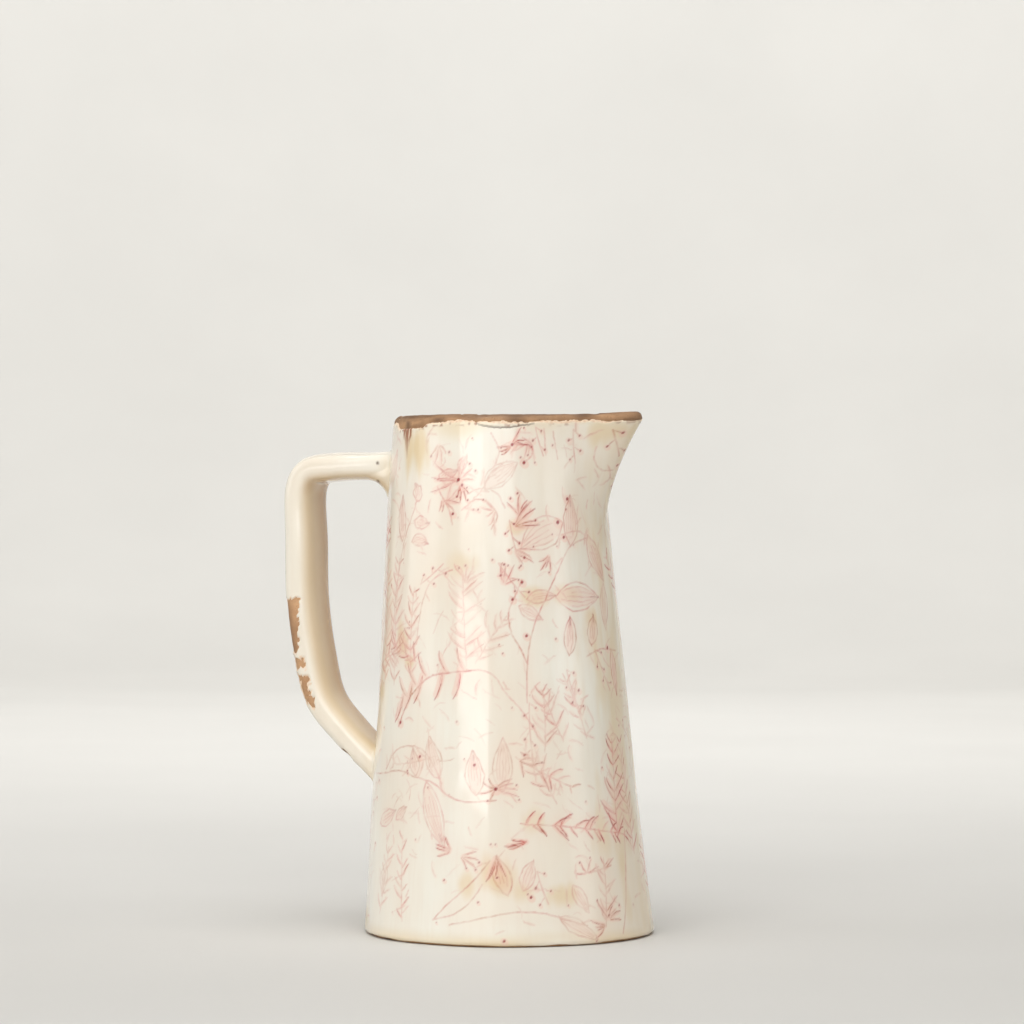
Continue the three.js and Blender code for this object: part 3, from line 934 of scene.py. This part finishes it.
def make_lining(material):
    """The inside glaze: a cup with a coved corner, thin enough to show the clay at the rim."""
    theta = column_angles(LINING_COLUMNS)
    floor = FLOOR + FLOOR_GAP
    cove = floor + LINING + COVE
    edge = rim_height(theta) - LINING_BELOW_RIM + 0.8 * body_noise(theta, 0, 8, 5, 81)
    corner = CLAY_DEPTH + wall_thickness(floor) + COVE
    span = body_radius(floor) - corner
    rows = [(floor + LINING, corner + span * (1 - share)) for share in np.linspace(0.02, 1, 24)]
    for angle in quarter_turn(9):
        z = floor + LINING + COVE * (1 - cos(angle))
        rows.append((z, CLAY_DEPTH + wall_thickness(z) + LINING + COVE * (1 - sin(angle))))
    for share in shares(119):
        z = cove + share * (edge - cove)
        rows.append((z, CLAY_DEPTH + wall_thickness(z) + LINING / 2))
    face = CLAY_DEPTH + wall_thickness(edge)
    rows += [(edge + 0.5, face + 0.2), (edge + 0.7, face - 0.4)]
    angles, z, inset = row_grids(theta, rows)
    throwing = 0.12 * np.sin(z * 1.1 + 2 * body_noise(angles, z, 60, 40, 82)) * ease((z - 20) / 20)
    rings = body_point(angles, z, inset + throwing)[:, ::-1]
    piece = grid_piece("lining_glaze", rings, material)
    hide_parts("liner_glaze")
    return piece


# ---- Handle pieces ----

class Strap:
    """The handle's surface as columns that run along its route, from root to root."""

    def __init__(self, columns):
        self.route = smooth_route(HANDLE_ROUTE, 900)
        forward = np.gradient(self.route, axis=0)
        forward /= np.linalg.norm(forward, axis=1, keepdims=True)
        self.outward = np.stack([forward[:, 1], -forward[:, 0]], axis=1)
        self.length = path_lengths(self.route)
        angle = 2 * pi * np.arange(columns) / columns
        power = 2 / HANDLE_SQUARENESS
        waves = np.stack([np.cos(angle), np.sin(angle)])
        self.level, self.across = np.sign(waves) * np.abs(waves) ** power

    def grid(self, stations, grow):
        """Points at stations along each column, with the section grown by so many mm."""
        total = self.length[-1]
        nearest = np.minimum(stations, total - stations)
        flare = ROOT_FLARE * np.exp(-((nearest / ROOT_LENGTH) ** 2))
        thickness = HANDLE_THICKNESS + HANDLE_BELLY * np.sin(pi * stations / total) ** 2
        thick = (thickness / 2 + flare + grow) * self.level
        wide = (HANDLE_WIDTH / 2 + flare + np.minimum(grow, ROOT_FILLET)) * self.across
        values = (*self.route.T, *self.outward.T)
        x, z, out_x, out_z = (np.interp(stations, self.length, row) for row in values)
        return np.stack([x + out_x * thick, wide, z + out_z * thick], axis=-1)

    def clearance(self, points):
        """How far points stand out from the body's outside surface, level."""
        x, y, z = (points[..., k] for k in range(3))
        from_axis = x + LEAN_PER_HEIGHT * z
        theta = np.arctan2(y, from_axis)
        return np.hypot(from_axis, y) - body_radius(z) - hand_waves(theta, z)

    def landing(self, grow, height, lower):
        """The station on each column where it comes down to a height over the wall."""
        end = self.length[-1]
        tries = np.linspace(end / 2, end if lower else 0, 700)
        stations = np.broadcast_to(tries[:, None], (tries.size, self.level.size))
        free = self.clearance(self.grid(stations, grow)) - height
        first = np.argmax(free < 0, axis=0)
        column = np.arange(self.level.size)
        over, under = free[first - 1, column], free[first, column]
        share = over / (over - under)
        return tries[first - 1] + share * (tries[first] - tries[first - 1])

    def fillet(self, grow, radius, sink, lower):
        """A station and a growth for each row of the fillet at one root, from the wall up."""
        rows = []
        for turn in np.linspace(0, pi / 2, FILLET_ROWS):
            height = radius * (1 - np.cos(turn)) - sink
            spread = grow + radius * (1 - np.sin(turn))
            rows.append((self.landing(spread, height, lower), spread))
        return rows

    def rings(self, rows, grow, fillets, sink):
        """Stations and growths for rows of points from one root to the other. The section
        spreads in a fillet at each root: `fillets` are their radii, for each column."""
        top = self.fillet(grow, fillets[0], sink, False)
        low = self.fillet(grow, fillets[1], sink, True)
        first, last = top[-1][0], low[-1][0]
        between = np.linspace(0, 1, rows)[1:-1]
        plain = [(first + share * (last - first), np.full(first.shape, grow)) for share in between]
        every = np.array(top + plain + low[::-1])
        return every[:, 0], every[:, 1]


def make_handle(glaze, clay):
    strap = Strap(HANDLE_COLUMNS)
    small = np.full(HANDLE_COLUMNS, ROOT_FILLET)
    web = small + (WEB_FILLET - small) * ease((-strap.level - 0.1) / 0.8)
    stations, growth = strap.rings(HANDLE_ROWS, 0, (web, small), 0.25)
    turn = np.arange(HANDLE_COLUMNS) / HANDLE_COLUMNS
    plain = strap.grid(stations, growth)

    def noise(width, length, seed):
        cells = int(2 * (HANDLE_WIDTH + HANDLE_THICKNESS) / width)
        return 2 * lattice_noise(turn * cells, stations / length, cells, seed) - 1

    x, y, z = (plain[..., k] for k in range(3))
    level = strap.level + 0 * z
    ragged = noise(5, 5, 93) + 0.8 * noise(2.4, 2.4, 94) + 0.75 * noise(1.2, 1.2, 95)

    def chip(top, bottom, top_x, bottom_x, strength):
        ends = ease((z - bottom + 0.8 * ragged) / 4) * ease((top - z + 0.8 * ragged) / 4)
        inner_edge = np.interp(z, [bottom, top], [bottom_x, top_x])
        side = ease((inner_edge - x + 0.8 + 0.9 * ragged) / 1.6) * ease((-y - 8) / 4)
        return strength * ends * side

    far_chip = ease((z - 176) / 3) * ease((186 - z) / 3)
    far_chip *= 1.5 * ease((y - 9) / 3) * ease(level)
    worn = np.maximum.reduce([far_chip] + [chip(*row) for row in HANDLE_CHIPS])
    nick_x, nick_z = x - HANDLE_NICK[0], z - HANDLE_NICK[1]
    nick = 1.3 - np.hypot(0.28 * (nick_x - nick_z), 0.75 * (nick_x + nick_z)) - 2 * (y > -4)
    gone = np.maximum(worn - 1.0 + 0.42 * ragged * ease(2 * worn), nick)
    broken = ease((gone + 0.42 + 0.2 * noise(4, 4, 98)) / 0.2)
    depth = SLIP_DEPTH * broken + (CHIP_DEPTH - SLIP_DEPTH) * ease((gone - 0.02) / 0.25)
    depth -= 0.16 * noise(22, 45, 91) + 0.1 * noise(9, 18, 92)

    smoke_and_shade = 0.5 + 0.5 * noise(12, 26, 96)
    # The handle's inner face, which looks at the body, gets painted shade with some stain: tan and
    # brown, deepening toward its far side and under the top arm.
    inner = ease((-0.15 - level) / 0.95)
    far_side_shade = np.maximum(ease((y + 14) / 30), 0.3 * ease((z - 208) / 8))
    root = ease(1 - strap.clearance(plain) / 9)
    specks = np.zeros(z.shape)
    for speck_x, speck_z, size in HANDLE_SPECKS:
        far = np.hypot(x - speck_x, z - speck_z) + 0.3 * ragged + 3 * (y > -4)
        specks = np.maximum(specks, ease(size - far + 0.5))
    layers = {name: np.zeros(z.shape) for name in LAYERS}
    layers["slip"] = broken
    around = 0.15 * smoke_and_shade * smoke_and_shade + 0.5 * root * smoke_and_shade
    # The inner face's painted shade, with some stain, goes into the stain and smoke layers.
    layers["stain_and_shade"] = np.maximum(inner * (0.55 + 0.2 * smoke_and_shade), around)
    layers["smoke_and_shade"] = inner * far_side_shade * (0.88 + 0.12 * smoke_and_shade)
    # A painted shaded line along the far edge of the inner face, in the dirt layer
    edge = 0.3 * inner * ease((y - 9) / 7)
    layers["dirt_and_shade"] = np.maximum.reduce([0.85 * specks, 0.9 * ease((nick + 0.6) / 0.8), edge])
    skin = grid_piece("handle_glaze_skin", strap.grid(stations, growth - depth), glaze, layers)
    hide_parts("handle_glaze")

    tight = np.full(HANDLE_COLUMNS, 0.5)
    stations, growth = strap.rings(HANDLE_ROWS // 2, -CLAY_DEPTH, (tight, tight), 0.5)
    growth += 0.05 * noise(2, 2, 97)[: len(growth)]
    core = grid_piece("handle_clay", strap.grid(stations, growth), clay, caps=True)
    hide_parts("handle")
    return skin, core


# ---- Studio ----

CAMERA_TURN = radians(18)
CAMERA_DISTANCE = 1.805
CAMERA_HEIGHT = 0.202
CAMERA_ASIDE = 0.0012
CAMERA_LENS = 131.7


def make_camera():
    data = bpy.data.cameras.new("camera")
    data.lens = CAMERA_LENS
    data.sensor_width = 36
    camera = add_object("camera", data)
    right = Vector((cos(CAMERA_TURN), sin(CAMERA_TURN), 0))
    camera.location = round_camera(0, CAMERA_DISTANCE, CAMERA_HEIGHT) + right * CAMERA_ASIDE
    camera.rotation_euler = (pi / 2, 0, CAMERA_TURN)
    bpy.context.scene.camera = camera


def round_camera(azimuth, distance, height):
    """A place by its azimuth from the camera, positive to the right, in degrees and metres."""
    turn = CAMERA_TURN + radians(azimuth)
    return Vector((distance * sin(turn), -distance * cos(turn), height))


def make_light(name, place, aim, size, power):
    """A soft panel at one place that faces another."""
    data = bpy.data.lights.new(name, "AREA")
    data.shape = "RECTANGLE"
    data.size, data.size_y = size
    data.energy = power
    lamp = add_object(name, data)
    lamp.location = round_camera(*place)
    lamp.rotation_euler = (round_camera(*aim) - lamp.location).to_track_quat("-Z", "Y").to_euler()


def make_stage():
    """A plain pale floor that sweeps up into a low wall far away all round."""
    mat = Paint("stage_paint")
    tone = mat.spread(mat.noise(3), 0.3, 0.7)
    paint = mat.mix(tone, srgb(210, 208, 203), srgb(214, 212, 207))
    mat.set(mat.shader, Base_Color=paint, Roughness=0.6)
    flat, sweep, top = 2600, 1400, 3400
    profile = [(flat * share, 0) for share in (0.02, 0.1, 0.25, 0.5, 0.75, 1)]
    profile += [(flat + sweep * sin(a), sweep * (1 - cos(a))) for a in quarter_turn(12)]
    profile.append((flat + sweep, top))
    theta = 2 * pi * np.arange(96) / 96
    rings = [[(r * cos(t), r * sin(t), z) for t in theta] for r, z in reversed(profile)]
    grid_piece("stage", np.array(rings), mat.material)


def light_the_stage():
    world = bpy.data.worlds.new("studio")
    world.use_nodes = True
    glow = world.node_tree.nodes["Background"].inputs
    glow["Color"].default_value = (0.97, 0.98, 1.0, 1)
    glow["Strength"].default_value = 0.06
    bpy.context.scene.world = world
    middle = (0, 0, 0.12)
    make_light("window", (-26, 1.5, 0.95), (0, 0, 0.45), (0.72, 1.1), 3.3)
    make_light("low_pane", (-28, 1.5, 0.26), (0, 0, 0.2), (0.8, 0.09), 1.1)
    make_light("softbox", (-8, 2.3, 1.3), middle, (3.0, 1.4), 23.5)
    make_light("overhead", (-10, 0.5, 2.4), middle, (1.8, 1.8), 37)
    make_light("right_fill", (63, 2.2, 0.9), middle, (0.8, 1.4), 3.9)
    make_light("left_fill", (-80, 2.2, 0.9), middle, (1.6, 1.4), 8)
    make_light("backdrop", (180, 1.0, 2.4), (180, 4, 0.9), (2.4, 0.8), 86)
    bpy.context.scene.view_settings.view_transform = "Standard"


# ---- Assembly ----

def build():
    make_camera()
    make_stage()
    light_the_stage()
    turned_clay = clay_material("turned_clay", PALE_CLAY, CLAY_COLOUR, DARK_CLAY, 4)
    pulled_clay = clay_material("pulled_clay", PALE_CLAY, CLAY_COLOUR, DARK_CLAY, 0.6)
    fired_slip = clay_material("fired_slip", SLIP_COLOUR, BROKEN_SLIP, CLAY_COLOUR, 1)
    glaze = glaze_material("cream_glaze")
    body = make_body_glaze(glaze)
    wall = make_clay_wall(turned_clay)
    lining = make_lining(lining_material())
    skin, core = make_handle(glaze, pulled_clay)
    for piece, slot in (
        (body, "outer_glaze"), (wall, "clay"), (lining, "inner_glaze"),
        (skin, "outer_glaze"), (core, "clay"),
    ):
        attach(piece, ROOT)
    plain = {"floor_disc": turned_clay, "upper_slip_joint": fired_slip, "lower_slip_joint": fired_slip}
    for node, material in plain.items():
        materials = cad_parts[node].data.materials
        materials.clear()
        materials.append(material)


build()
